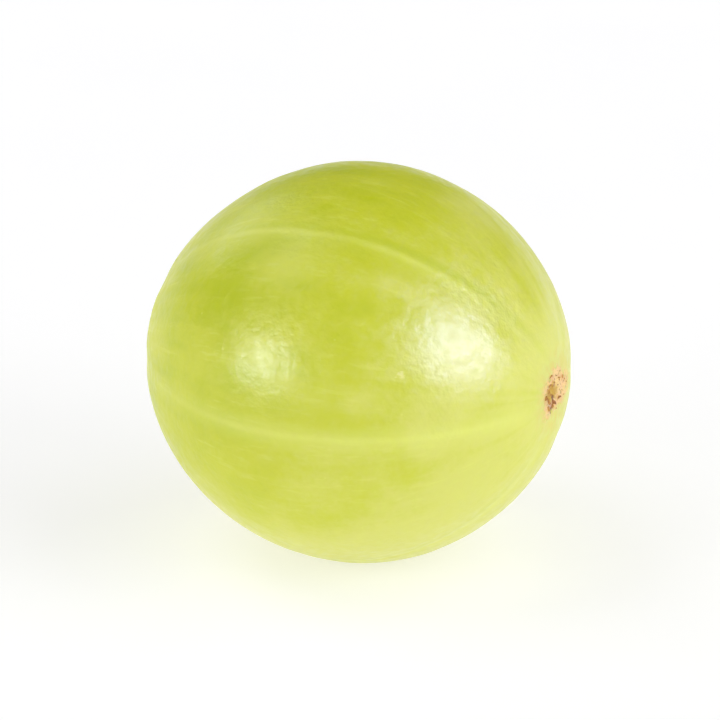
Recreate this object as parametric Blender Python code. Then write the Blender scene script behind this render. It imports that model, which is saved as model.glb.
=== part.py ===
"""One whole Indian gooseberry (amla), as picked, lying on its side on a small flat spot.

Metres, +Z up. The fruit's own axis, from the blossom end to the stalk end, lies along +X.
The origin is on the surface that the fruit rests on, under the middle of its box.
"""

import math

import bmesh
import bpy
from mathutils import Matrix, Vector

MM = 0.001

# The body: a little longer than wide, and fullest just past the middle towards the stalk end.
LENGTH = 33.7 * MM
DIAMETER = 31.6 * MM
FULLER_AT_STALK_END = 0.022
SLOPING_SHOULDERS = 0.017
OVAL_GIRTH = 0.012
OVAL_TURN = math.radians(-8)

# Six shallow furrows run from end to end, with a low lobe between each two and a fine crease
# along the bottom of each.
LOBES = 6
FIRST_FURROW = math.radians(0.0)
FURROW_DEPTH_AT_GIRTH = 0.13 * MM
FURROW_DEPTH_AT_ENDS = 0.22 * MM
FURROW_SHARPNESS = 6
CREASE_DEPTH = 0.09 * MM
CREASE_SHARPNESS = 220
LOBE_UNEVENNESS = 0.004

# The blossom end: a shallow hollow with a corky rim round the pit that the flower's style left.
BLOSSOM_HOLLOW_DEPTH = 0.75 * MM
BLOSSOM_HOLLOW_RADIUS = 3.6 * MM
STYLE_PIT_DEPTH = 0.80 * MM
STYLE_PIT_RADIUS = 0.85 * MM
STYLE_RIM_HEIGHT = 0.16 * MM
STYLE_RIM_RADIUS = 1.35 * MM

# The stalk end: a faint hollow, and in it the scar that the stalk broke away from, a low ring of
# cork round a nub.
STALK_HOLLOW_DEPTH = 0.32 * MM
STALK_HOLLOW_RADIUS = 3.0 * MM
SCAR_HEIGHT = 0.10 * MM
SCAR_RADIUS = 1.5 * MM
SCAR_NUB_HEIGHT = 0.22 * MM
SCAR_NUB_RADIUS = 0.55 * MM

# The fruit's weight flattens the skin where it rests.
REST_SPOT_RADIUS = 3.6 * MM

SEGMENTS_PER_LOBE = 14
SEGMENT_CROWDING = 0.70
RINGS = 54
RING_CROWDING = 0.62

SKIN_COLOUR = (0.56, 0.64, 0.10, 1.0)
SKIN_ROUGHNESS = 0.34


def clear_scene():
    for obj in list(bpy.data.objects):
        bpy.data.objects.remove(obj, do_unlink=True)


def bump(distance, radius):
    """1 at distance 0, falling smoothly to almost nothing past the radius."""
    return math.exp(-((distance / radius) ** 2))


def ring(distance, radius, width):
    """1 on a circle of this radius, falling smoothly to both sides."""
    return bump(distance - radius, width)


def crowded_angle(share):
    """The angle from the blossom end for a ring, with the rings closer together at both ends."""
    return math.pi * share - RING_CROWDING * math.sin(2 * math.pi * share) / 2


def crowded_turns():
    """The angles round the fruit's axis for one ring, closer together at each furrow."""
    turns = []
    for lobe in range(LOBES):
        for step in range(SEGMENTS_PER_LOBE):
            share = step / SEGMENTS_PER_LOBE
            share -= SEGMENT_CROWDING * math.sin(2 * math.pi * share) / (2 * math.pi)
            turns.append(FIRST_FURROW + 2 * math.pi * (lobe + share) / LOBES)
    return turns


def furrow(around, from_blossom):
    """How far the furrows pull the surface in at this place."""
    nearness = abs(math.cos(LOBES / 2 * (around - FIRST_FURROW)))
    girth_share = math.sin(from_blossom)
    depth = FURROW_DEPTH_AT_ENDS + (FURROW_DEPTH_AT_GIRTH - FURROW_DEPTH_AT_ENDS) * girth_share
    fade_at_pole = min(1.0, girth_share / math.sin(math.radians(20)))
    valley = depth * nearness**FURROW_SHARPNESS + CREASE_DEPTH * nearness**CREASE_SHARPNESS
    return valley * fade_at_pole


def unevenness(around):
    """A share of the radius: the girth is slightly oval, and no two lobes swell alike."""
    oval = OVAL_GIRTH * math.cos(2 * (around - OVAL_TURN))
    swelling = math.sin(around + 0.7) * math.cos(2 * around - 0.4)
    return oval + LOBE_UNEVENNESS * swelling


def end_relief(out, radius):
    """How far the surface stands out of the body, along the axis, at this distance from the axis."""
    if out < 0:
        hollow = BLOSSOM_HOLLOW_DEPTH * bump(radius, BLOSSOM_HOLLOW_RADIUS)
        pit = STYLE_PIT_DEPTH / (1 + (radius / STYLE_PIT_RADIUS) ** 6)
        rim = STYLE_RIM_HEIGHT * ring(radius, STYLE_RIM_RADIUS, STYLE_RIM_RADIUS / 3)
        return rim - hollow - pit
    hollow = STALK_HOLLOW_DEPTH * bump(radius, STALK_HOLLOW_RADIUS)
    scar = SCAR_HEIGHT * ring(radius, SCAR_RADIUS, SCAR_RADIUS / 2)
    nub = SCAR_NUB_HEIGHT * bump(radius, SCAR_NUB_RADIUS)
    return scar + nub - hollow


def skin_point(from_blossom, around):
    """A point of the skin. around is 0 towards -Y and turns up over the top."""
    out = -math.cos(from_blossom)
    side = math.sin(from_blossom)
    shoulders = 1 - SLOPING_SHOULDERS * (2 * out * side) ** 2
    radius = DIAMETER / 2 * side * shoulders * (1 + FULLER_AT_STALK_END * out)
    radius *= 1 + unevenness(around)
    radius -= furrow(around, from_blossom)
    along = LENGTH / 2 * out * shoulders
    along += math.copysign(1, out) * end_relief(out, max(radius, 0.0))
    return Vector((along, -radius * math.cos(around), radius * math.sin(around)))


def make_skin(mesh):
    """One closed skin: a round cap at each end and rings of four-sided faces between them."""
    turns = crowded_turns()
    sheet = bmesh.new()
    rings = []
    for step in range(1, RINGS):
        from_blossom = crowded_angle(step / RINGS)
        rings.append([sheet.verts.new(skin_point(from_blossom, around)) for around in turns])
    blossom_pole = sheet.verts.new(skin_point(0.0, 0.0))
    stalk_pole = sheet.verts.new(skin_point(math.pi, 0.0))
    for turn in range(len(turns)):
        onward = (turn + 1) % len(turns)
        sheet.faces.new((blossom_pole, rings[0][turn], rings[0][onward]))
        sheet.faces.new((stalk_pole, rings[-1][onward], rings[-1][turn]))
        for near, far in zip(rings, rings[1:]):
            sheet.faces.new((near[turn], far[turn], far[onward], near[onward]))
    bmesh.ops.recalc_face_normals(sheet, faces=sheet.faces)
    flatten_rest_spot(sheet)
    sheet.to_mesh(mesh)
    sheet.free()


def flatten_rest_spot(sheet):
    """Cuts the lowest bit off level and closes it, so that the cut is about as wide as the rest spot."""
    lowest = min(vert.co.z for vert in sheet.verts)
    cut_height = lowest + REST_SPOT_RADIUS**2 / DIAMETER
    cut = bmesh.ops.bisect_plane(
        sheet,
        geom=sheet.verts[:] + sheet.edges[:] + sheet.faces[:],
        plane_co=(0, 0, cut_height),
        plane_no=(0, 0, -1),
        clear_outer=True,
    )
    rim = [part for part in cut["geom_cut"] if isinstance(part, bmesh.types.BMEdge)]
    bmesh.ops.holes_fill(sheet, edges=rim, sides=0)
    bmesh.ops.recalc_face_normals(sheet, faces=sheet.faces)


def stand_on_origin(mesh):
    """Moves the mesh so that it stands on the origin, with the middle of its box above it."""
    corners = [[corner(vert.co[axis] for vert in mesh.vertices) for axis in range(3)] for corner in (min, max)]
    low, high = (Vector(corner) for corner in corners)
    mesh.transform(Matrix.Translation((-(low.x + high.x) / 2, -(low.y + high.y) / 2, -low.z)))


def skin_material():
    material = bpy.data.materials.new("skin")
    material.use_nodes = True
    shader = material.node_tree.nodes["Principled BSDF"]
    shader.inputs["Base Color"].default_value = SKIN_COLOUR
    shader.inputs["Roughness"].default_value = SKIN_ROUGHNESS
    shader.inputs["Metallic"].default_value = 0.0
    return material


def build_fruit():
    mesh = bpy.data.meshes.new("fruit")
    make_skin(mesh)
    stand_on_origin(mesh)
    mesh.shade_smooth()
    mesh.materials.append(skin_material())
    fruit = bpy.data.objects.new("fruit", mesh)
    bpy.context.scene.collection.objects.link(fruit)
    return fruit


clear_scene()
build_fruit()
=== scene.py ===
"""The looks of one whole Indian gooseberry (amla), lying on its side on a pale studio sweep."""

import math
import random

import bmesh
import bpy
import numpy as np
from mathutils import Matrix, Vector, noise
from mathutils.bvhtree import BVHTree


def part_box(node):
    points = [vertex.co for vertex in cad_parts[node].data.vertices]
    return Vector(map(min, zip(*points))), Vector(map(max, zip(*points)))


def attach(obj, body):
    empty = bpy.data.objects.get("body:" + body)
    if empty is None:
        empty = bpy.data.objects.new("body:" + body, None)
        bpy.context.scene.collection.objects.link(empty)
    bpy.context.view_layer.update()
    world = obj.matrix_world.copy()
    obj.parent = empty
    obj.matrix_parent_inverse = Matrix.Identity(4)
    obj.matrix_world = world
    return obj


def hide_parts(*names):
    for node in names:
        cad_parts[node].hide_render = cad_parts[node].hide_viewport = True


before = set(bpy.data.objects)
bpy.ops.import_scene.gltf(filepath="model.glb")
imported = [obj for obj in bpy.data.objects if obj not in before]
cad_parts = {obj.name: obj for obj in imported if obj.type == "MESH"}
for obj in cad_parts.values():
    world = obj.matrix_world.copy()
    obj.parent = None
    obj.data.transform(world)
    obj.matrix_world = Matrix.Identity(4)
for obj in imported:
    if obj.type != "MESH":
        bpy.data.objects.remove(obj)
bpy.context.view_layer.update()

# The body of the fruit is one grown piece: a thin waxy skin over firm, translucent flesh. It swells
# in six low lobes from the style pit at the blossom end (-X) to the scar at the stalk end (+X), with
# a furrow and a fine pale crease between each two. It rests on the spot that its weight flattens.

MM = 0.001
LOW_CORNER, HIGH_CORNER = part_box("fruit")
CORE_HEIGHT = (LOW_CORNER.z + HIGH_CORNER.z) / 2

LENGTH = 33.7 * MM
DIAMETER = 31.6 * MM
FULLER_AT_STALK_END = 0.022
SLOPING_SHOULDERS = 0.017
OVAL_GIRTH = 0.012
OVAL_TURN = math.radians(-8)
LOBE_UNEVENNESS = 0.004

LOBES = 6
FURROW_DEPTH_AT_GIRTH = 0.13 * MM
FURROW_DEPTH_AT_ENDS = 0.22 * MM
FURROW_SHARPNESS = 6
FURROW_FULL_FROM = math.radians(20)
CREASE_WIDTH = 0.48 * MM
CREASE_DEPTH = 0.055 * MM
CREASE_FADE = (16, 58)

# No two creases are alike. From the one that faces -Y, up over the top and round: each one's share of
# the crease depth, which is less than 0 where the line stands up as a fine rib.
SEAM_CREASES = (0.7, -0.4, 0.9, 1.0, 1.2, 0.8)

BLOSSOM_HOLLOW_DEPTH = 0.75 * MM
BLOSSOM_HOLLOW_RADIUS = 3.6 * MM
STYLE_PIT_DEPTH = 0.80 * MM
STYLE_PIT_RADIUS = 0.85 * MM
STYLE_PIT_STEEPNESS = 6
STYLE_RIM_HEIGHT = 0.16 * MM
STYLE_RIM_RADIUS = 1.35 * MM
STALK_HOLLOW_DEPTH = 0.32 * MM
STALK_HOLLOW_RADIUS = 3.0 * MM

SEGMENTS_PER_LOBE = 60
SEGMENT_CROWDING = 0.40
RINGS = 256
RING_CROWDING = 0.62


def bump(distance, radius):
    """1 at distance 0, falling smoothly to almost nothing past the radius."""
    return np.exp(-((distance / radius) ** 2))


def ring(distance, radius, width):
    """1 on a circle of this radius, falling smoothly to both sides."""
    return bump(distance - radius, width)


def soft_step(value, start, end):
    """0 up to the start, 1 from the end, and a smooth slope between them."""
    share = np.clip((value - start) / (end - start), 0, 1)
    return share * share * (3 - 2 * share)


def end_fade(from_blossom, start, full):
    """0 near both ends of the fruit and 1 between them. The slope lies between two angles in degrees."""
    return soft_step(np.sin(from_blossom), math.sin(math.radians(start)), math.sin(math.radians(full)))


def turn_and_rise():
    """The angle round the axis and the angle from the blossom end, for each point of the rings."""
    share = np.arange(SEGMENTS_PER_LOBE) / SEGMENTS_PER_LOBE
    share = share - SEGMENT_CROWDING * np.sin(2 * math.pi * share) / (2 * math.pi)
    turns = np.concatenate([(lobe + share) * 2 * math.pi / LOBES for lobe in range(LOBES)])
    step = np.arange(1, RINGS) / RINGS
    rises = math.pi * step - RING_CROWDING * np.sin(2 * math.pi * step) / 2
    around, from_blossom = np.meshgrid(turns, rises)
    poles = (0.0, math.pi)
    return np.append(around.ravel(), (0.0, 0.0)), np.append(from_blossom.ravel(), poles)


def girth_radius(around, from_blossom):
    """The fruit's radius round its axis, without the furrows, and the place along the axis."""
    out = -np.cos(from_blossom)
    side = np.sin(from_blossom)
    shoulders = 1 - SLOPING_SHOULDERS * (2 * out * side) ** 2
    oval = OVAL_GIRTH * np.cos(2 * (around - OVAL_TURN))
    swelling = np.sin(around + 0.7) * np.cos(2 * around - 0.4)
    fullness = (1 + FULLER_AT_STALK_END * out) * (1 + oval + LOBE_UNEVENNESS * swelling)
    return DIAMETER / 2 * side * shoulders * fullness, LENGTH / 2 * out * shoulders


def seam_distance(around, radius):
    """How far each point lies past its nearest seam, round the axis: less than 0 before the seam."""
    nearest = np.round(around * LOBES / (2 * math.pi)) * 2 * math.pi / LOBES
    return (around - nearest) * radius


def nearest_seam(around):
    """The number of the seam that lies nearest to each point."""
    return np.round(around * LOBES / (2 * math.pi)).astype(int) % LOBES


def fruit_points(around, from_blossom):
    """The skin's points in metres, lying along X, with each point's distance from its nearest seam."""
    out = -np.cos(from_blossom)
    side = np.sin(from_blossom)
    radius, along = girth_radius(around, from_blossom)
    seam = seam_distance(around, radius)
    depth = FURROW_DEPTH_AT_ENDS + (FURROW_DEPTH_AT_GIRTH - FURROW_DEPTH_AT_ENDS) * side
    valley = depth * np.abs(np.cos(LOBES / 2 * around)) ** FURROW_SHARPNESS
    valley_fade = np.minimum(1, side / math.sin(FURROW_FULL_FROM))
    crease = CREASE_DEPTH * np.array(SEAM_CREASES)[nearest_seam(around)] * bump(seam, CREASE_WIDTH)
    crease_fade = end_fade(from_blossom, *CREASE_FADE)
    radius = np.maximum(radius - valley * valley_fade - crease * crease_fade, 0)

    blossom_end = STYLE_RIM_HEIGHT * ring(radius, STYLE_RIM_RADIUS, STYLE_RIM_RADIUS / 3)
    blossom_end -= BLOSSOM_HOLLOW_DEPTH * bump(radius, BLOSSOM_HOLLOW_RADIUS)
    blossom_end -= STYLE_PIT_DEPTH / (1 + (radius / STYLE_PIT_RADIUS) ** STYLE_PIT_STEEPNESS)
    stalk_end = -STALK_HOLLOW_DEPTH * bump(radius, STALK_HOLLOW_RADIUS)
    along = along + np.where(out < 0, -blossom_end, stalk_end)
    return np.stack([along, -radius * np.cos(around), radius * np.sin(around)], axis=1), seam


around, from_blossom = turn_and_rise()
points, seam = fruit_points(around, from_blossom)
from_axis = np.hypot(points[:, 1], points[:, 2])
at_stalk = points[:, 0] > 0

# The scar is where the stalk broke away: an uneven oval of cork, broken up into crumbs. The stalk's
# core left a hollow in it, and a cleft runs down from the hollow.

SCAR_MIDDLE = (0.05 * MM, 0.25 * MM)
SCAR_HALF_WIDTH = 3.0 * MM
SCAR_HALF_HEIGHT = 1.9 * MM
SCAR_HEIGHT = 0.11 * MM
SCAR_FADE = (0.40, 1.25)
# Each wave of the oval's edge: how many times it goes in and out, how far, and where it starts.
SCAR_WAVES = ((3, 0.12, 0.6), (5, 0.07, 2.1))
SCAR_HOLLOW_PLACE = (-0.8 * MM, 0.3 * MM)
SCAR_HOLLOW_HALF_WIDTH = 1.25 * MM
SCAR_HOLLOW_HALF_HEIGHT = 0.75 * MM
SCAR_HOLLOW_DEPTH = 0.10 * MM
SCAR_CLEFT_ENDS = (-0.55 * MM, -0.15 * MM), (-0.76 * MM, -1.18 * MM)
SCAR_CLEFT_WIDTH = 0.26 * MM
SCAR_CLEFT_DEPTH = 0.16 * MM
SCAR_CLEFT_WAVER = 0.10 * MM
SCAR_CLEFT_WAVE_LENGTH = 0.22 * MM
# Two sizes of crumbs, each with its height, its width and a seed for its pattern.
CRUMBS = ((0.6, 0.34 * MM, 3.0), (0.4, 0.17 * MM, 8.0))
CORK_LEVEL = 0.70
CRUMB_RELIEF = 1.3


def grain(points, wavelength, seed):
    """Smooth uneven values between about -1 and 1 at these points, one swell to each wavelength."""
    shift = Vector((seed, seed * 0.7, -seed))
    return np.array([noise.noise(Vector(point) / wavelength + shift) for point in points])


def layered_grain(points, layers):
    """Several grains added up. Each layer has its height, its wavelength and a seed."""
    return sum(height * grain(points, wavelength, seed) for height, wavelength, seed in layers)


def oval_reach(skin_y, skin_z, middle, half_width, half_height):
    """How far each place lies from the middle of an oval, with 1 on the oval itself."""
    return np.hypot((skin_y - middle[0]) / half_width, (skin_z - middle[1]) / half_height)


def from_line(skin_y, skin_z, start, end):
    """The distance of each place from the straight line between two others."""
    run = (end[0] - start[0], end[1] - start[1])
    share = ((skin_y - start[0]) * run[0] + (skin_z - start[1]) * run[1]) / (run[0] ** 2 + run[1] ** 2)
    share = np.clip(share, 0, 1)
    return np.hypot(skin_y - start[0] - share * run[0], skin_z - start[1] - share * run[1])


skin_y, skin_z = points[:, 1], points[:, 2]
scar_edge = 1
for waves, depth, start in SCAR_WAVES:
    scar_edge = scar_edge + depth * np.sin(waves * around + start)
scar_reach = oval_reach(skin_y, skin_z, SCAR_MIDDLE, SCAR_HALF_WIDTH, SCAR_HALF_HEIGHT) * scar_edge
scar_share = np.where(at_stalk, 1 - soft_step(scar_reach, *SCAR_FADE), 0)
hollow_sizes = (SCAR_HOLLOW_PLACE, SCAR_HOLLOW_HALF_WIDTH, SCAR_HOLLOW_HALF_HEIGHT)
hollow_share = np.where(at_stalk, bump(oval_reach(skin_y, skin_z, *hollow_sizes), 1.0), 0)
wavering = skin_y + SCAR_CLEFT_WAVER * np.sin(skin_z / SCAR_CLEFT_WAVE_LENGTH)
from_cleft = from_line(wavering, skin_z, *SCAR_CLEFT_ENDS)
cleft_share = np.where(at_stalk, bump(from_cleft, SCAR_CLEFT_WIDTH), 0)
crumbs = layered_grain(points, CRUMBS)
scar_lift = SCAR_HEIGHT * scar_share * (CORK_LEVEL + CRUMB_RELIEF * crumbs)
scar_lift -= SCAR_HOLLOW_DEPTH * hollow_share + SCAR_CLEFT_DEPTH * cleft_share

# The skin round the style pit is corky too, and crumbled. No fruit grows even either: broad swells,
# small dimples, and ridges that run from end to end, all too low to feel, break up the shine.

RIM_CORK_FADE = (1.0 * MM, 2.9 * MM)
RIM_CRUMB_HEIGHT = 0.055 * MM
# Heights in mm, widths, and a seed for each pattern: two sizes of swells, then the dimples.
SKIN_SWELLS = ((0.060, 9 * MM, 1.0), (0.028, 3.4 * MM, 5.0), (0.018, 1.9 * MM, 9.0))
RIDGE_HEIGHT = 0.007
RIDGES_ROUND = 11
RIDGES_ALONG = 3.2


def places_in_strips(across, along):
    """Each point's place on a drum, for noise in strips that run from end to end."""
    places = [np.cos(around) * across, np.sin(around) * across, -np.cos(from_blossom) * along]
    return np.stack(places, axis=1)


rim_share = np.where(at_stalk, 0, 1 - soft_step(from_axis, *RIM_CORK_FADE))
rim_lift = RIM_CRUMB_HEIGHT * rim_share * crumbs
ridge_places = places_in_strips(RIDGES_ROUND, RIDGES_ALONG)
ridges = RIDGE_HEIGHT * grain(ridge_places, 1.0, 2.0)
skin_lift = (layered_grain(points, SKIN_SWELLS) + ridges * np.sin(from_blossom)) * MM
outward = points / np.linalg.norm(points, axis=1)[:, None]
points = points + outward * (scar_lift + rim_lift + skin_lift)[:, None]

# The fruit's weight presses the lowest skin flat where it rests. The skin stops a little short of the
# box at the stalk end, because the stubs in the scar stand up by that much.

REST_SPOT_RADIUS = 3.6 * MM
REST_SPOT_ROUNDING = 0.05 * MM
STRAND_HEIGHT = 0.08 * MM


def set_on_rest_spot(points):
    """Presses the lowest skin flat, as wide as the rest spot, with a soft bend round it."""
    lowest = points[:, 2].min()
    level = lowest + REST_SPOT_RADIUS**2 / DIAMETER
    above = points[:, 2] - level
    points[:, 2] = level + (above + np.sqrt(above**2 + REST_SPOT_ROUNDING**2)) / 2
    return points


def fit_to_frame(points):
    """Moves and sizes the points to fill the CAD fruit's box, less the strands' height at the stalk."""
    low, high = points.min(axis=0), points.max(axis=0)
    share = (points - low) / (high - low)
    room = HIGH_CORNER - LOW_CORNER - Vector((STRAND_HEIGHT, 0, 0))
    return np.array(LOW_CORNER) + share * np.array(room)


def make_skin_faces(rings, segments):
    """Four-sided faces between the rings, and a fan of three-sided ones at each pole."""
    first_pole = rings * segments
    last = (rings - 1) * segments
    faces = []
    for turn in range(segments):
        onward = (turn + 1) % segments
        faces.append((first_pole, turn, onward))
        for near in range(0, last, segments):
            far = near + segments
            faces.append((near + turn, far + turn, far + onward, near + onward))
        faces.append((first_pole + 1, last + onward, last + turn))
    return faces


points = fit_to_frame(set_on_rest_spot(points))
skin_points = [tuple(point) for point in points]
skin_faces = make_skin_faces(RINGS - 1, SEGMENTS_PER_LOBE * LOBES)
fruit_mesh = bpy.data.meshes.new("fruit_skin")
fruit_mesh.from_pydata(skin_points, [], skin_faces)
fruit_mesh.shade_smooth()
fruit = bpy.data.objects.new("fruit_skin", fruit_mesh)
bpy.context.scene.collection.objects.link(fruit)

# The seams are where the fruit's segments meet under the skin: a thin pale line in a broad pale band,
# with a deeper green strip of painted shade beside it, where the crease's flank would lie in shade. No
# two show alike, and each changes along its way. The mesh keeps, for each point, what the skin's
# material needs to know of its place.

# How plainly each seam's line, band and strip of painted shade show, in the order of the creases, and
# how much of that is lost towards the blossom end.
SEAM_LINES = (0.5, 0.8, 0.5, 0.7, 0.9, 0.4)
SEAM_BANDS = (1.0, 0.40, 0.4, 0.8, 0.5, 0.5)
SEAM_PAINTED_SHADES = (0.1, 1.0, 0.4, 0.7, 0.6, 0.3)
SEAM_LOSSES = (0.5, 0.55, 0.0, 0.0, 0.0, 0.0)
SEAM_LOSS_FADE = (0.0, 0.75)
# The strip of painted shade lies this far past its seam.
PAINTED_SHADE_FROM_SEAM = 0.65 * MM
SEAM_UNEVENNESS = 0.6
SEAM_CHANGES_ROUND = 3
SEAM_CHANGES_ALONG = 4
LINE_FADE = (12, 48)
BAND_FADE = (6, 24)
PAINTED_SHADE_FADE = (8, 30)

own_seam = nearest_seam(around)
seam_places = places_in_strips(SEAM_CHANGES_ROUND, SEAM_CHANGES_ALONG)
seam_loss = np.array(SEAM_LOSSES)[own_seam] * soft_step(np.cos(from_blossom), *SEAM_LOSS_FADE)
seam_change = (1 + SEAM_UNEVENNESS * grain(seam_places, 1.0, 6.0)) * (1 - seam_loss)
skin_facts = {
    "seam_mm": np.abs(seam) / MM,
    "painted_shade_mm": np.abs(seam - PAINTED_SHADE_FROM_SEAM) / MM,
    "seam_line": np.array(SEAM_LINES)[own_seam] * seam_change * end_fade(from_blossom, *LINE_FADE),
    "seam_band": np.array(SEAM_BANDS)[own_seam] * seam_change * end_fade(from_blossom, *BAND_FADE),
    "seam_painted_shade": np.array(SEAM_PAINTED_SHADES)[own_seam] * seam_change * end_fade(from_blossom, *PAINTED_SHADE_FADE),
    "blossom_mm": from_blossom * DIAMETER / 2 / MM,
    "stalk_mm": (math.pi - from_blossom) * DIAMETER / 2 / MM,
    "scar": scar_share,
    "scar_hollow": hollow_share,
    "scar_cleft": cleft_share,
    "turn_cos": np.cos(around),
    "turn_sin": np.sin(around),
    "along": -np.cos(from_blossom),
}
for title, values in skin_facts.items():
    attribute = fruit_mesh.attributes.new(title, "FLOAT", "POINT")
    attribute.data.foreach_set("value", np.asarray(values, dtype=np.float32))

# Skin, cork and dried remains all show their cells: a fine mottling in colour and a fine pebbling in
# relief. The sizes are in mm.

MM_IN_METRE = 1000.0
CLUMPS_TO_CELLS = 0.52


def place(tree, kind, sockets=(), **settings):
    """Adds a node. Its settings are set, and each socket is either set or joined to another node."""
    node = tree.nodes.new(kind)
    for setting, value in settings.items():
        setattr(node, setting, value)
    for socket, value in dict(sockets).items():
        if isinstance(value, bpy.types.NodeSocket):
            tree.links.new(value, node.inputs[socket])
        else:
            node.inputs[socket].default_value = value
    return node


def maths(tree, operation, first, second=0.0):
    return place(tree, "ShaderNodeMath", {0: first, 1: second}, operation=operation).outputs[0]


def product(tree, first, *others):
    """All the values multiplied together."""
    for value in others:
        first = maths(tree, "MULTIPLY", first, value)
    return first


def total(tree, start, *shares):
    """The start value plus each of the other values times its weight."""
    for value, weight in shares:
        sockets = {0: value, 1: weight, 2: start}
        start = place(tree, "ShaderNodeMath", sockets, operation="MULTIPLY_ADD").outputs[0]
    return start


def swirl(tree, vector, scale, detail=2.0):
    """Soft noise between 0 and 1, with this many finer layers laid over it."""
    sockets = {"Vector": vector, "Scale": scale, "Detail": detail}
    return place(tree, "ShaderNodeTexNoise", sockets).outputs["Fac"]


def new_group(title, inputs, outputs):
    """A node group with these named sockets. Each input is (name, kind, value)."""
    group = bpy.data.node_groups.new(title, "ShaderNodeTree")
    for name, kind, value in inputs:
        socket = group.interface.new_socket(name, in_out="INPUT", socket_type=kind)
        if value is not None:
            socket.default_value = value
    for name, kind in outputs:
        group.interface.new_socket(name, in_out="OUTPUT", socket_type=kind)
    return group, group.nodes.new("NodeGroupInput").outputs, group.nodes.new("NodeGroupOutput").inputs


cells, given, result = new_group(
    "cell mottling",
    [
        ("Vector", "NodeSocketVector", None),
        ("Cell Size", "NodeSocketFloat", 0.4),
        ("Patch Size", "NodeSocketFloat", 3.0),
    ],
    [("Mottling", "NodeSocketFloat"), ("Pebbling", "NodeSocketFloat"), ("Clumps", "NodeSocketFloat")],
)
cell_scale = maths(cells, "DIVIDE", MM_IN_METRE, given["Cell Size"])
patch_scale = maths(cells, "DIVIDE", MM_IN_METRE, given["Patch Size"])
fine = swirl(cells, given["Vector"], cell_scale, detail=1.0)
clumps = swirl(cells, given["Vector"], product(cells, cell_scale, CLUMPS_TO_CELLS), detail=0.0)
broad = swirl(cells, given["Vector"], patch_scale, detail=3.0)
cells.links.new(total(cells, 0.0, (fine, 0.17), (clumps, 0.16), (broad, 0.67)), result["Mottling"])
cells.links.new(fine, result["Pebbling"])
cells.links.new(clumps, result["Clumps"])

# The skin carries two kinds of specks, pale ones and brown ones, where single cells have dried out.
# The spacing and size are in mm, and the share is how many of the spots hold a speck.

specks, given, result = new_group(
    "dry specks",
    [
        ("Vector", "NodeSocketVector", None),
        ("Spacing", "NodeSocketFloat", 1.5),
        ("Speck Size", "NodeSocketFloat", 0.1),
        ("Share", "NodeSocketFloat", 0.3),
    ],
    [("Specks", "NodeSocketFloat")],
)
spot_scale = maths(specks, "DIVIDE", MM_IN_METRE, given["Spacing"])
spots = place(specks, "ShaderNodeTexVoronoi", {"Vector": given["Vector"], "Scale": spot_scale}).outputs
pick = place(specks, "ShaderNodeSeparateColor", {"Color": spots["Color"]}).outputs["Red"]
reach = maths(specks, "DIVIDE", given["Speck Size"], given["Spacing"])
own_reach = product(specks, reach, maths(specks, "ADD", 0.5, pick))
inside = maths(specks, "SUBTRACT", own_reach, spots["Distance"])
solid = maths(specks, "DIVIDE", inside, product(specks, reach, 0.5))
solid = place(specks, "ShaderNodeClamp", {"Value": solid}).outputs["Result"]
chosen = maths(specks, "LESS_THAN", pick, given["Share"])
specks.links.new(product(specks, solid, chosen), result["Specks"])

# The skin is thin and waxy over flesh that lets light in. It is deep green-yellow where the flesh is
# clearest, and paler where cloud and fibres lie under it. Towards the stalk it is paler, partly in its
# own tone and partly as a painted pale sheen. Low down it is painted paler with light from the floor,
# and high up a little painted shade darkens it.


def paint(red, green, blue):
    """A colour as a screen shows it, 0 to 255, in the linear values that a shader takes."""
    values = [value / 255 for value in (red, green, blue)]
    linear = [value / 12.92 if value < 0.04045 else ((value + 0.055) / 1.055) ** 2.4 for value in values]
    return (*linear, 1.0)


def ramp(tree, value, start, end, low=0.0, high=1.0):
    """A smooth slope from low to high as the value goes from start to end."""
    sockets = {"Value": value, "From Min": start, "From Max": end, "To Min": low, "To Max": high}
    return place(tree, "ShaderNodeMapRange", sockets, interpolation_type="SMOOTHSTEP").outputs["Result"]


def tint(tree, share, first, second):
    """Mixes the second colour over the first."""
    return place(tree, "ShaderNodeMix", {0: share, 6: first, 7: second}, data_type="RGBA").outputs[2]


def read(tree, title):
    return place(tree, "ShaderNodeAttribute", attribute_name=title).outputs["Fac"]


def use_group(tree, group, sockets):
    return place(tree, "ShaderNodeGroup", sockets, node_tree=group).outputs


def new_material(title):
    material = bpy.data.materials.new(title)
    material.use_nodes = True
    return material, material.node_tree, material.node_tree.nodes["Principled BSDF"]


FLESH = paint(203, 209, 55)
DEEP_FLESH_AND_PAINTED_SHADE = paint(189, 200, 18)
PALE_FLESH_AND_PAINTED_LIGHT = paint(215, 218, 110)
SEAM = paint(224, 230, 120)
BLUSH = paint(222, 196, 100)
BROWN_SPECK = paint(178, 150, 70)
HEALED_NICK = paint(240, 238, 170)

# Widths and lengths of the two kinds of fibres, in mm.
BROAD_FIBRES = (1.9, 6.5)
FINE_FIBRES = (0.42, 1.7)
CLOUD_SIZE = 7.5 * MM
SKIN_CELLS = {"Cell Size": 0.34, "Patch Size": 3.4}
PALE_SPECKS = {"Spacing": 1.7, "Speck Size": 0.20, "Share": 0.30}
BROWN_SPECKS = {"Spacing": 3.1, "Speck Size": 0.10, "Share": 0.14}

skin, tree, shader = new_material("skin")
on_fruit = place(tree, "ShaderNodeTexCoord").outputs["Object"]
height = place(tree, "ShaderNodeSeparateXYZ", {"Vector": on_fruit}).outputs["Z"]
seam_mm = read(tree, "seam_mm")
blossom_mm = read(tree, "blossom_mm")
stalk_mm = read(tree, "stalk_mm")
along = read(tree, "along")
turn_cos = read(tree, "turn_cos")
turn_sin = read(tree, "turn_sin")


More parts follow.
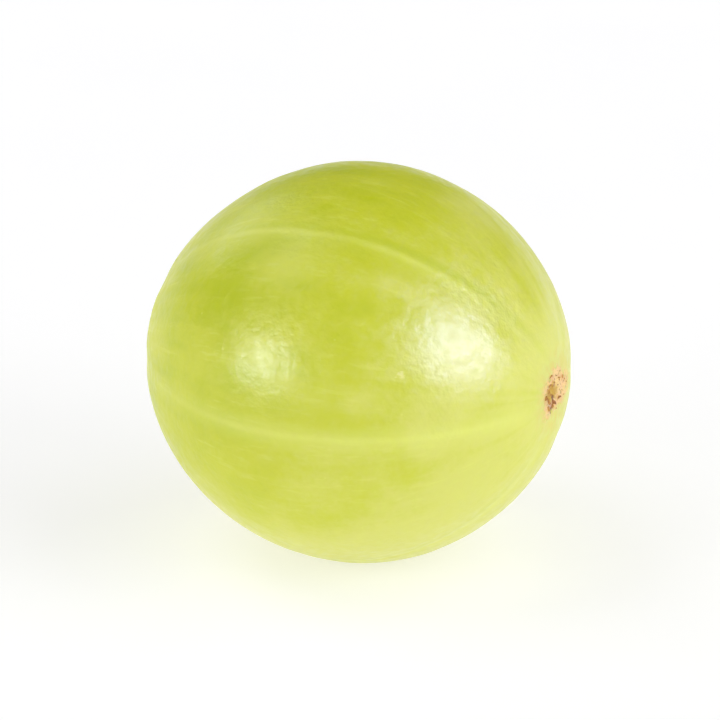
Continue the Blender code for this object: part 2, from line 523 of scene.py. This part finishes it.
def fibres(tree, width, length):
    """Noise in strands that run from end to end, with this width and length in mm."""
    sockets = {"X": turn_cos, "Y": turn_sin, "Z": product(tree, along, width / length)}
    vector = place(tree, "ShaderNodeCombineXYZ", sockets).outputs["Vector"]
    return swirl(tree, vector, DIAMETER / 2 / MM / width)


mottled = use_group(tree, cells, {"Vector": on_fruit, **SKIN_CELLS})
clouds = swirl(tree, on_fruit, 1 / CLOUD_SIZE, detail=1.0)
broad_fibres = fibres(tree, *BROAD_FIBRES)
fine_fibres = fibres(tree, *FINE_FIBRES)

# Noise lies mostly between 0.3 and 0.7, so the ramps over it are narrow. In each of the next lines: a
# place on the fruit, from where to where it counts, and how much paler it makes the flesh. The first is
# partly the stalk end's own paler tone and partly a painted sheen, the next two paint light from the
# floor onto the underside, and the last paints shade onto the top.
PALE_PLACES_AND_PAINTED_LIGHT = (
    # Partly the stalk end's own paler tone, partly a painted pale sheen.
    (stalk_mm, 34.0, 5.0, 0.88),
    # Two steps of painted light from the floor, on the underside.
    (height, 13 * MM, 2 * MM, 0.65),
    (height, 8 * MM, 3 * MM, 0.40),
    # Painted shade on the top.
    (height, 19 * MM, 25 * MM, -0.10),
)
paleness_and_painted_light = total(tree, -1.47, (mottled["Mottling"], 1.3), (clouds, 0.9), (broad_fibres, 0.8))
for measure, start, end, change in PALE_PLACES_AND_PAINTED_LIGHT:
    paleness_and_painted_light = maths(tree, "ADD", paleness_and_painted_light, ramp(tree, measure, start, end, 0.0, change))
flesh = tint(tree, ramp(tree, paleness_and_painted_light, -0.35, 0.35), DEEP_FLESH_AND_PAINTED_SHADE, FLESH)
flesh = tint(tree, ramp(tree, paleness_and_painted_light, 0.20, 1.05), flesh, PALE_FLESH_AND_PAINTED_LIGHT)

# Fibres near the surface show as short pale dashes, except close to the ends.
DASHES_SHOW = 0.22
DASHES_FROM_END = (2.0, 8.0)
from_blossom_end = ramp(tree, blossom_mm, *DASHES_FROM_END)
away_from_ends = product(tree, from_blossom_end, ramp(tree, stalk_mm, *DASHES_FROM_END))
dashes = product(tree, ramp(tree, fine_fibres, 0.52, 0.70), ramp(tree, broad_fibres, 0.40, 0.62))
flesh = tint(tree, product(tree, dashes, away_from_ends, DASHES_SHOW), flesh, SEAM)

# The seams: the deeper green strip of painted shade first, then the thin line and the band over it.
# Each has its width in mm and how strongly it shows.
PAINTED_SHADE_WIDTH, PAINTED_SHADE_SHOWS = 0.65, 0.60
LINE_WIDTH, LINE_SHOWS = 0.48, 0.42
BAND_WIDTH, BAND_SHOWS = 1.7, 0.40
painted_shade_mm = read(tree, "painted_shade_mm")
near_painted_shade = ramp(tree, painted_shade_mm, PAINTED_SHADE_WIDTH, 0.0, 0.0, PAINTED_SHADE_SHOWS)
flesh = tint(tree, product(tree, near_painted_shade, read(tree, "seam_painted_shade")), flesh, DEEP_FLESH_AND_PAINTED_SHADE)
wandering_seam = total(tree, -0.10, (seam_mm, 1.0), (mottled["Pebbling"], 0.10), (mottled["Clumps"], 0.10))
near_line = ramp(tree, wandering_seam, LINE_WIDTH, 0.0, 0.0, LINE_SHOWS)
near_band = ramp(tree, wandering_seam, BAND_WIDTH, 0.0, 0.0, BAND_SHOWS)
seam_line = product(tree, near_line, read(tree, "seam_line"))
seam_band = product(tree, near_band, read(tree, "seam_band"))
flesh = tint(tree, maths(tree, "ADD", seam_line, seam_band), flesh, SEAM)

# The two kinds of specks.
PALE_SPECKS_SHOW = 0.40
BROWN_SPECKS_SHOW = 0.55
pale_specks = use_group(tree, specks, {"Vector": on_fruit, **PALE_SPECKS})["Specks"]
flesh = tint(tree, product(tree, pale_specks, PALE_SPECKS_SHOW), flesh, SEAM)
brown_specks = use_group(tree, specks, {"Vector": on_fruit, **BROWN_SPECKS})["Specks"]
flesh = tint(tree, product(tree, brown_specks, BROWN_SPECKS_SHOW), flesh, BROWN_SPECK)

# The skin flushes towards both ends, from the first of two distances in mm to the second.
BLUSH_SHOWS = 0.50
BLUSH_AT_STALK = (4.6, 1.6)
BLUSH_AT_BLOSSOM = (5.2, 1.0)
blush_at_stalk = ramp(tree, stalk_mm, *BLUSH_AT_STALK)
blush = maths(tree, "MAXIMUM", blush_at_stalk, ramp(tree, blossom_mm, *BLUSH_AT_BLOSSOM))
blush_patches = total(tree, 0.0, (broad_fibres, 0.6), (mottled["Clumps"], 0.4))
blush = product(tree, blush, ramp(tree, blush_patches, 0.36, 0.62))
flesh = tint(tree, product(tree, blush, BLUSH_SHOWS), flesh, BLUSH)

# Small nicks have healed pale. Each has its angle round the axis and its angle from the blossom end,
# in degrees, and its size in mm.
NICKS = (
    (21, 122, 0.42),
    (118, 64, 0.30),
    (163, 96, 0.36),
    (204, 58, 0.44),
    (248, 118, 0.26),
    (283, 70, 0.30),
)
NICK_CORE = 0.45
NICKS_SHOW = 0.62
for nick_turn, nick_rise, size in NICKS:
    nick_place, _ = fruit_points(np.radians([nick_turn]), np.radians([nick_rise]))
    middle = tuple(nick_place[0] + np.array((0, 0, CORE_HEIGHT)))
    between = place(tree, "ShaderNodeVectorMath", {0: on_fruit, 1: middle}, operation="DISTANCE").outputs
    nick_mm = product(tree, between["Value"], MM_IN_METRE)
    ragged = total(tree, -0.6, (nick_mm, 1.0), (mottled["Pebbling"], 0.7), (fine_fibres, 0.5))
    in_nick = ramp(tree, ragged, size, size * NICK_CORE, 0.0, NICKS_SHOW)
    flesh = tint(tree, in_nick, flesh, HEALED_NICK)

# The scar's cork: tan, pinkish in places, brown where it has cracked, golden brown in the hollow and
# darkest in the cleft.

CORK = paint(238, 206, 138)
CORK_PINK = paint(232, 188, 134)
CORK_DARK = paint(172, 122, 62)
CORK_GOLD = paint(196, 156, 40)
CLEFT_BROWN = paint(136, 82, 24)
CORK_CELLS = {"Cell Size": 0.15, "Patch Size": 0.8}

scar = read(tree, "scar")
cork_grain = use_group(tree, cells, {"Vector": on_fruit, **CORK_CELLS})
cork_colour = tint(tree, ramp(tree, cork_grain["Mottling"], 0.42, 0.58), CORK_PINK, CORK)
cork_cracks = total(tree, 0.0, (cork_grain["Clumps"], 0.7), (cork_grain["Pebbling"], 0.3))
cork_colour = tint(tree, ramp(tree, cork_cracks, 0.44, 0.30), cork_colour, CORK_DARK)
ragged_hollow = total(tree, -0.4, (read(tree, "scar_hollow"), 1.0), (cork_grain["Clumps"], 0.8))
cork_colour = tint(tree, ramp(tree, ragged_hollow, 0.20, 0.75), cork_colour, CORK_GOLD)
ragged_cleft = total(tree, -0.3, (read(tree, "scar_cleft"), 1.0), (cork_grain["Clumps"], 0.6))
cork_colour = tint(tree, ramp(tree, ragged_cleft, 0.20, 0.70), cork_colour, CLEFT_BROWN)
ragged_scar = total(tree, -1.10, (scar, 1.0), (cork_grain["Mottling"], 1.3), (cork_grain["Clumps"], 0.9))
on_scar = product(tree, ramp(tree, ragged_scar, 0.0, 0.85), ramp(tree, scar, 0.0, 0.35))
flesh = tint(tree, on_scar, flesh, cork_colour)

# Round the style pit the cork is thin and russet, and broken up along the fibres. Inside the pit it is
# a brown that is nearly black.

RUSSET = paint(176, 128, 62)
PIT_BROWN = paint(70, 46, 26)
RIM_FIBRES = (0.9, 6.0)
RIM_SHOWS = 0.85

rim_fibres = fibres(tree, *RIM_FIBRES)
broken = total(tree, 0.0, (rim_fibres, 2.2), (cork_grain["Clumps"], 1.4), (mottled["Mottling"], 0.8))
on_rim = ramp(tree, total(tree, -2.2, (blossom_mm, 0.55), (broken, 1.0)), 1.35, 0.60)
rim_colour = tint(tree, cork_grain["Clumps"], RUSSET, CORK)
flesh = tint(tree, product(tree, on_rim, RIM_SHOWS), flesh, rim_colour)
in_pit = ramp(tree, total(tree, -0.2, (blossom_mm, 1.0), (cork_grain["Pebbling"], 0.4)), 1.15, 0.62)
flesh = tint(tree, in_pit, flesh, PIT_BROWN)
tree.links.new(flesh, shader.inputs["Base Color"])

# The wax is thicker in some patches than in others, so the shine is uneven, and the skin's fine relief
# breaks it up. Cork has no wax. Under the skin, light spreads through the flesh, blue light the least.

GLOSSY, SATIN = 0.29, 0.43
CORK_DULLER = 0.35
RELIEF_DEPTH = 0.1 * MM
LIGHT_SPREAD = 8.0 * MM
SPREAD_BY_COLOUR = (1.0, 0.9, 0.22)
WAX_IOR = 1.50

corky = maths(tree, "MAXIMUM", on_scar, maths(tree, "MAXIMUM", on_rim, in_pit))
dullness = total(tree, 0.0, (mottled["Mottling"], 0.6), (mottled["Clumps"], 0.4))
roughness = total(tree, 0.0, (ramp(tree, dullness, 0.36, 0.66, GLOSSY, SATIN), 1.0), (corky, CORK_DULLER))
tree.links.new(roughness, shader.inputs["Roughness"])
skin_relief = total(tree, 0.0, (mottled["Pebbling"], 0.20), (mottled["Clumps"], 0.29), (fine_fibres, 0.04))
cork_relief = product(tree, corky, cork_grain["Pebbling"])
relief = total(tree, 0.0, (skin_relief, 1.0), (cork_relief, 0.9))
skin_bump = place(tree, "ShaderNodeBump", {"Strength": 1.0, "Distance": RELIEF_DEPTH, "Height": relief})
tree.links.new(skin_bump.outputs["Normal"], shader.inputs["Normal"])
shader.inputs["Subsurface Weight"].default_value = 1.0
shader.inputs["Subsurface Radius"].default_value = SPREAD_BY_COLOUR
shader.inputs["Subsurface Scale"].default_value = LIGHT_SPREAD
shader.inputs["IOR"].default_value = WAX_IOR

fruit_mesh.materials.append(skin)
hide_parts("fruit")
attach(fruit, "root")

# The stalk's strands broke off in the scar: a ring of small woody stubs, thickest on its lower side,
# and a few loose ones inside the ring. Each is an uneven, bent lump, sunk into the cork.

STRANDS_IN_RING = 24
STRANDS_INSIDE = 10
# The ring's radius as a share of the scar's, and how far a stub may stray from it, in and out.
STRAND_RING = 0.66
STRAY_FROM_RING = (-0.22, 0.16)
REACH_INSIDE = (0.20, 0.48)
STRAY_TURN = 0.12
STRAY_LEAN = 0.9
THICKEST_STRANDS_AT = math.radians(-50)
THINNEST, THICKER_THERE = 0.70, 0.45
STUB_WIDTHS = (0.050, 0.135)
STUB_LENGTHS_TO_WIDTH = (1.2, 3.0)
STUB_HEIGHTS_TO_WIDTH = (0.5, 0.9)
STUB_BEND = 0.9
STUB_LUMPS = 0.5
STUB_LUMP_SCALE = 1.5
STUB_PATTERNS = 90
STRAND_BROWN = paint(200, 146, 74)
STRAND_DARK = paint(152, 96, 38)
WOOD_CELLS = {"Cell Size": 0.07, "Patch Size": 1.1}
WOOD_ROUGHNESS = (0.55, 0.80)
WOOD_RELIEF_DEPTH = 0.02 * MM

stub_wood, tree, shader = new_material("strand wood")
on_stub = place(tree, "ShaderNodeTexCoord").outputs["Object"]
wood_grain = use_group(tree, cells, {"Vector": on_stub, **WOOD_CELLS})
wood_colour = tint(tree, ramp(tree, wood_grain["Mottling"], 0.40, 0.60), STRAND_DARK, STRAND_BROWN)
tree.links.new(wood_colour, shader.inputs["Base Color"])
tree.links.new(ramp(tree, wood_grain["Clumps"], 0.3, 0.7, *WOOD_ROUGHNESS), shader.inputs["Roughness"])
wood_relief = {"Strength": 0.8, "Distance": WOOD_RELIEF_DEPTH, "Height": wood_grain["Pebbling"]}
wood_bump = place(tree, "ShaderNodeBump", wood_relief)
tree.links.new(wood_bump.outputs["Normal"], shader.inputs["Normal"])
shader.inputs["Specular IOR Level"].default_value = 0.2

skin_surface = BVHTree.FromPolygons(skin_points, skin_faces)
blossom_pole, stalk_pole = Vector(points[-2]), Vector(points[-1])


def skin_beside(pole, sideways, up):
    """The place on the skin this far from the fruit's axis, and the way the skin faces there."""
    start = Vector((2 * pole.x, pole.y + sideways, pole.z + up))
    spot, facing, _, _ = skin_surface.ray_cast(start, Vector((-pole.x, 0, 0)).normalized())
    return spot, facing


def add_stub(sheet, spot, facing, heading, size, draw):
    """One bent stub on the skin, lying along its heading, with its lower half sunk in."""
    way = (heading - facing * heading.dot(facing)).normalized()
    lie = Matrix((way, facing.cross(way), facing)).transposed().to_4x4()
    shape = Matrix.Diagonal((*size, 1))
    made = bmesh.ops.create_icosphere(sheet, subdivisions=3, radius=1.0)
    seed = Vector((draw.uniform(0, STUB_PATTERNS), draw.uniform(0, STUB_PATTERNS), 0))
    bend = draw.uniform(-STUB_BEND, STUB_BEND)
    for vert in made["verts"]:
        vert.co *= 1 + STUB_LUMPS * noise.noise(vert.co * STUB_LUMP_SCALE + seed)
        vert.co.y += bend * vert.co.x**2
    bmesh.ops.transform(sheet, matrix=Matrix.Translation(spot) @ lie @ shape, verts=made["verts"])


def add_remains(name, sheet, material):
    """Puts a finished sheet of faces in the scene, as a dry part of the fruit."""
    mesh = bpy.data.meshes.new(name)
    sheet.to_mesh(mesh)
    sheet.free()
    mesh.shade_smooth()
    mesh.materials.append(material)
    piece = bpy.data.objects.new(name, mesh)
    bpy.context.scene.collection.objects.link(piece)
    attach(piece, "root")


draw = random.Random(11)
sheet = bmesh.new()
for strand in range(STRANDS_IN_RING + STRANDS_INSIDE):
    turn = 2 * math.pi * strand / STRANDS_IN_RING + draw.uniform(-STRAY_TURN, STRAY_TURN)
    reach = STRAND_RING + draw.uniform(*STRAY_FROM_RING)
    if strand >= STRANDS_IN_RING:
        turn = draw.uniform(0, 2 * math.pi)
        reach = draw.uniform(*REACH_INSIDE)
    thickness = THINNEST + THICKER_THERE * max(0.0, math.cos(turn - THICKEST_STRANDS_AT))
    width = draw.uniform(*STUB_WIDTHS) * thickness * MM
    length = width * draw.uniform(*STUB_LENGTHS_TO_WIDTH)
    from_pole = SCAR_MIDDLE[0] - reach * SCAR_HALF_WIDTH * math.cos(turn)
    above_pole = SCAR_MIDDLE[1] + reach * SCAR_HALF_HEIGHT * math.sin(turn)
    spot, facing = skin_beside(stalk_pole, from_pole, above_pole)
    lean = turn + draw.uniform(-STRAY_LEAN, STRAY_LEAN)
    heading = Vector((0, math.sin(lean), math.cos(lean)))
    size = (length, width, width * draw.uniform(*STUB_HEIGHTS_TO_WIDTH))
    add_stub(sheet, spot, facing, heading, size, draw)
add_remains("stalk_strands", sheet, stub_wood)

# The dried foot of the flower's style is left in the pit at the blossom end: a dark, wrinkled bead
# in three lobes, a little glossy, as hard as a seed.

STYLE_FOOT_RADIUS = 0.56 * MM
STYLE_FOOT_HEIGHT = 0.50 * MM
STYLE_LOBES = 3
STYLE_LOBE_DEPTH = 0.16
STYLE_DENT_DEPTH = 0.30
STYLE_DENT_RADIUS = 0.38
WRINKLE_DEPTH = 0.07
WRINKLES_ACROSS = 6
WRINKLES_UP = 2
STYLE_DARK = paint(38, 24, 18)
STYLE_BROWN = paint(86, 56, 36)
STYLE_CELLS = {"Cell Size": 0.09, "Patch Size": 0.5}
STYLE_ROUGHNESS = (0.30, 0.55)
STYLE_RELIEF_DEPTH = 0.03 * MM

dried_style, tree, shader = new_material("dried style")
on_foot = place(tree, "ShaderNodeTexCoord").outputs["Object"]
style_grain = use_group(tree, cells, {"Vector": on_foot, **STYLE_CELLS})
style_colour = tint(tree, ramp(tree, style_grain["Mottling"], 0.38, 0.62), STYLE_DARK, STYLE_BROWN)
tree.links.new(style_colour, shader.inputs["Base Color"])
tree.links.new(ramp(tree, style_grain["Clumps"], 0.3, 0.7, *STYLE_ROUGHNESS), shader.inputs["Roughness"])
style_relief = {"Strength": 1.0, "Distance": STYLE_RELIEF_DEPTH, "Height": style_grain["Pebbling"]}
style_bump = place(tree, "ShaderNodeBump", style_relief)
tree.links.new(style_bump.outputs["Normal"], shader.inputs["Normal"])

sheet = bmesh.new()
made = bmesh.ops.create_icosphere(sheet, subdivisions=5, radius=1.0)
for vert in made["verts"]:
    turn = math.atan2(vert.co.y, vert.co.x)
    outer = math.hypot(vert.co.x, vert.co.y)
    lobes = 1 + STYLE_LOBE_DEPTH * outer * math.cos(STYLE_LOBES * turn)
    dent = STYLE_DENT_DEPTH * math.exp(-((outer / STYLE_DENT_RADIUS) ** 2))
    wrinkle_place = (vert.co.x * WRINKLES_ACROSS, vert.co.y * WRINKLES_ACROSS, vert.co.z * WRINKLES_UP)
    wrinkles = WRINKLE_DEPTH * noise.noise(Vector(wrinkle_place))
    vert.co = Vector((vert.co.x * lobes, vert.co.y * lobes, vert.co.z * (1 - dent))) * (1 + wrinkles)
spot, _ = skin_beside(blossom_pole, 0.0, 0.0)
facing_out = Vector((-1, 0, 0)).to_track_quat("Z", "Y").to_matrix().to_4x4()
shape = Matrix.Diagonal((STYLE_FOOT_RADIUS, STYLE_FOOT_RADIUS, STYLE_FOOT_HEIGHT, 1))
bmesh.ops.transform(sheet, matrix=Matrix.Translation(spot) @ facing_out @ shape, verts=made["verts"])
add_remains("style_foot", sheet, dried_style)

# The floor is a wide pale sweep of satin board under the fruit. It is lit from below too, as a
# photographer's light table is, so that the shadow on it stays faint.

FLOOR_RADIUS = 4.0
FLOOR_GAP = 0.03 * MM
FLOOR_CORNERS = 96
BOARD_SHADES = paint(198, 198, 198), paint(202, 202, 202)
BOARD_GRAIN_SCALE = 60.0
GLOW = (0.525, 0.520, 0.538, 1.0)
FAR_GLOW = (0.765, 0.765, 0.768, 1.0)
GLOW_CHANGE = (0.08, 0.70)

bpy.ops.mesh.primitive_circle_add(
    vertices=FLOOR_CORNERS, radius=FLOOR_RADIUS, fill_type="NGON", location=(0, 0, -FLOOR_GAP)
)
floor = bpy.context.object
floor.name = "floor"
board, tree, shader = new_material("pale board")
on_floor = place(tree, "ShaderNodeTexCoord").outputs["Object"]
board_grain = swirl(tree, on_floor, BOARD_GRAIN_SCALE)
tree.links.new(tint(tree, board_grain, *BOARD_SHADES), shader.inputs["Base Color"])
shader.inputs["Roughness"].default_value = 0.6
shader.inputs["Specular IOR Level"].default_value = 0.0
from_middle = place(tree, "ShaderNodeVectorMath", {0: on_floor}, operation="LENGTH").outputs["Value"]
glow = tint(tree, ramp(tree, from_middle, *GLOW_CHANGE), GLOW, FAR_GLOW)
tree.links.new(glow, shader.inputs["Emission Color"])
shader.inputs["Emission Strength"].default_value = 1.0
floor.data.materials.append(board)

# Soft lamps stand round the fruit: one to the front right, one to the front left, a weak one behind
# on the left, and one high on each side, of which the right one doesn't show in the shine. Three
# more light only what is glossy, a slightly cool one on the right and two on the left.

FRUIT_CENTRE = Vector((0, 0, CORE_HEIGHT))
# Each lamp's compass angle and height angle, distance, width and height in metres, and power.
LAMPS = {
    "right_softbox": (81, 25, 0.70, 0.50, 0.50, 1.7),
    "left_softbox": (-36, 15, 0.80, 0.42, 0.42, 1.2),
    "back_softbox": (-120, 25, 0.80, 0.42, 0.40, 0.76),
    "left_top_softbox": (-80, 58, 0.80, 0.54, 0.44, 1.3),
    "right_top_softbox": (118, 52, 0.80, 0.60, 0.50, 1.10),
    "right_gleam": (82, 25, 0.70, 0.55, 0.55, 10.4),
    "left_gleam": (-36, 16, 0.80, 0.36, 0.36, 2.35),
    "left_haze": (-30, 6, 0.80, 0.66, 0.62, 3.3),
}
NOT_IN_THE_SHINE = ("right_top_softbox",)
ONLY_IN_THE_SHINE = ("right_gleam", "left_gleam", "left_haze")
COOL_LIGHT = (0.58, 0.56, 1.0)


def towards(azimuth, elevation):
    """The direction from the fruit at this compass angle and height, azimuth 0 being along -Y."""
    turn, rise = math.radians(azimuth), math.radians(elevation)
    return Vector((math.sin(turn) * math.cos(rise), -math.cos(turn) * math.cos(rise), math.sin(rise)))


def aim(thing, azimuth, elevation, distance):
    way = towards(azimuth, elevation)
    thing.location = FRUIT_CENTRE + way * distance
    thing.rotation_euler = way.to_track_quat("Z", "Y").to_euler()


for name, (azimuth, elevation, distance, wide, high, power) in LAMPS.items():
    light = bpy.data.lights.new(name, "AREA")
    light.shape = "ELLIPSE"
    light.size = wide
    light.size_y = high
    light.energy = power
    if name == "right_gleam":
        light.color = COOL_LIGHT
    lamp = bpy.data.objects.new(name, light)
    bpy.context.scene.collection.objects.link(lamp)
    aim(lamp, azimuth, elevation, distance)
    lamp.visible_glossy = name not in NOT_IN_THE_SHINE
    lamp.visible_diffuse = name not in ONLY_IN_THE_SHINE

# The room is white, brightest along the horizon and dimmer above. A dim wall stands behind the fruit,
# opposite the camera, so that the fruit's edges don't turn white in its reflection.

HORIZON = (1.12, 1.12, 1.12, 1.0)
LOW_WALL = (0.68, 0.685, 0.69, 1.0)
CEILING = (0.44, 0.445, 0.44, 1.0)
BACK_WALL = (0.18, 0.19, 0.14, 1.0)
BACK_WALL_AT = (203, 15)
ROOM_BRIGHTNESS = 0.86
# Where each change starts and ends: 0 is level and 1 straight up.
TO_LOW_WALL = (0.01, 0.08)
TO_CEILING = (0.10, 0.90)
BACK_WALL_FOOT = (0.02, 0.14)
# The back wall's edge, where 0 is square to the way to its middle and 1 straight at it.
BACK_WALL_EDGE = (0.10, 0.65)

world = bpy.data.worlds.new("white room")
bpy.context.scene.world = world
world.use_nodes = True
tree = world.node_tree
outlook = place(tree, "ShaderNodeTexCoord").outputs["Generated"]
upward = place(tree, "ShaderNodeSeparateXYZ", {"Vector": outlook}).outputs["Z"]
room = tint(tree, ramp(tree, upward, *TO_LOW_WALL), HORIZON, LOW_WALL)
room = tint(tree, ramp(tree, upward, *TO_CEILING), room, CEILING)
facing_wall = {0: outlook, 1: towards(*BACK_WALL_AT)}
backward = place(tree, "ShaderNodeVectorMath", facing_wall, operation="DOT_PRODUCT").outputs["Value"]
above_foot = ramp(tree, upward, *BACK_WALL_FOOT)
on_back_wall = product(tree, ramp(tree, backward, *BACK_WALL_EDGE), above_foot)
room = tint(tree, on_back_wall, room, BACK_WALL)
tree.links.new(room, tree.nodes["Background"].inputs["Color"])
tree.nodes["Background"].inputs["Strength"].default_value = ROOM_BRIGHTNESS

# The camera looks at the fruit from the photograph's angle, through a long lens, from as far as makes
# the fruit as large in the frame as it is there.

CAMERA_AZIMUTH = 23
CAMERA_ELEVATION = 22.3
CAMERA_DISTANCE = 0.5
VIEW_WIDTH = 56 * MM
SENSOR_WIDTH = 36

lens = bpy.data.cameras.new("camera")
lens.sensor_width = SENSOR_WIDTH
lens.lens = SENSOR_WIDTH * CAMERA_DISTANCE / VIEW_WIDTH
lens.clip_start = 0.01
lens.clip_end = 50
camera = bpy.data.objects.new("camera", lens)
bpy.context.scene.collection.objects.link(camera)
aim(camera, CAMERA_AZIMUTH, CAMERA_ELEVATION, CAMERA_DISTANCE)
bpy.context.scene.camera = camera
bpy.context.scene.view_settings.view_transform = "Standard"
